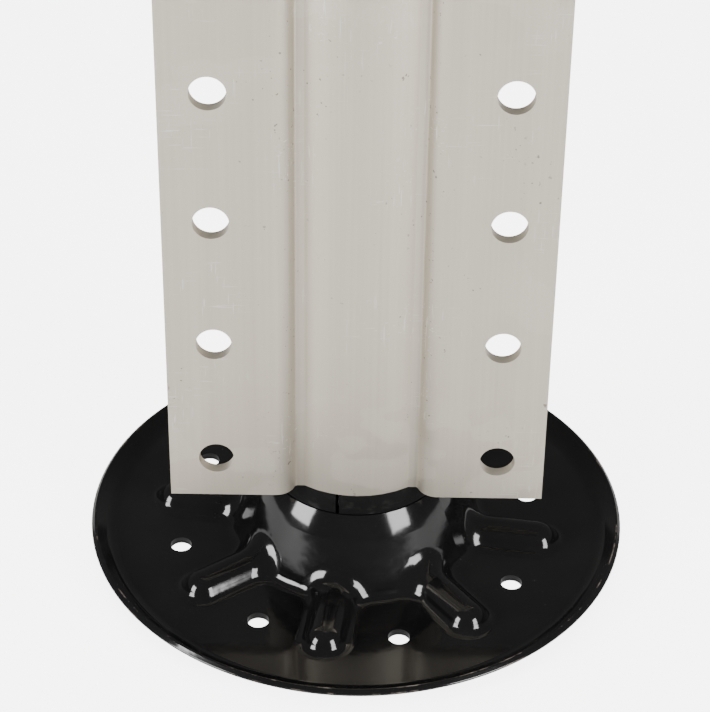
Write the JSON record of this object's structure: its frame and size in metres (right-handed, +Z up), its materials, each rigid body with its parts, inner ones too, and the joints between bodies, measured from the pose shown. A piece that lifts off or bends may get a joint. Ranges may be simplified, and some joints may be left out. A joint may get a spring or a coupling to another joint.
{
  "type": "portable signpost",
  "caption": "Freestanding signpost: finned tube post with hole columns on a ribbed round foot, carrying a flat sign; the post turns and lifts off its spigot.",
  "frame": {"origin": "centre of the foot on the ground", "axes": "+Z up along the post's tube, sign and flanges face -Y, +X to the right seen from the front"},
  "size_m": [0.3048, 0.152, 0.9395],
  "materials": {
    "mill_aluminium": "satin mill finish with fine lengthwise die lines",
    "black_enamel": "glossy dipped black enamel",
    "ring_plastic": "dull black, scuffed",
    "cap_plastic": "moulded, lightly grained",
    "sheet_aluminium": "rolled sheet, satin",
    "sign_film": "reflective sheeting with a printed border and arrow",
    "nylon": "smooth natural nylon",
    "galvanised_steel": "galvanised, dull",
    "zinc_steel": "zinc plated"
  },
  "bodies": {
    "foot": {"foot_plate": "black_enamel", "spigot_tube": "galvanised_steel", "spigot_weld": "black_enamel"},
    "ring": {"spacer_ring": "ring_plastic"},
    "post": {"post_extrusion": "mill_aluminium", "post_cap": "cap_plastic", "sign_panel": "sheet_aluminium", "sign_sheeting": "sign_film", "clamp_boss_1": "mill_aluminium", "clamp_boss_2": "mill_aluminium", "sign_bolt_1": "zinc_steel", "face_washer_1": "nylon", "back_washer_1": "zinc_steel", "sign_nut_1": "zinc_steel", "sign_bolt_2": "zinc_steel", "face_washer_2": "nylon", "back_washer_2": "zinc_steel", "sign_nut_2": "zinc_steel", "sign_bolt_3": "zinc_steel", "face_washer_3": "nylon", "back_washer_3": "zinc_steel", "sign_nut_3": "zinc_steel", "sign_bolt_4": "zinc_steel", "face_washer_4": "nylon", "back_washer_4": "zinc_steel", "sign_nut_4": "zinc_steel"},
    "clamp_screw_1": {"clamp_screw_1": "zinc_steel"},
    "clamp_screw_2": {"clamp_screw_2": "zinc_steel"}
  },
  "joints": [
    {"name": "post_turn", "type": "hinge", "parent": "foot", "child": "ring", "pos_m": [0, 0, 0.0244], "axis": [0, 0, 1], "continuous": true},
    {"name": "post_lift", "type": "slide", "parent": "ring", "child": "post", "axis": [0, 0, 1], "range_m": [0, 0.16]},
    {"name": "clamp_screw_1_out", "type": "slide", "parent": "post", "child": "clamp_screw_1", "axis": [0, 1, 0], "range_m": [0, 0.006]},
    {"name": "clamp_screw_2_out", "type": "slide", "parent": "post", "child": "clamp_screw_2", "axis": [0, 1, 0], "range_m": [0, 0.006]}
  ]
}
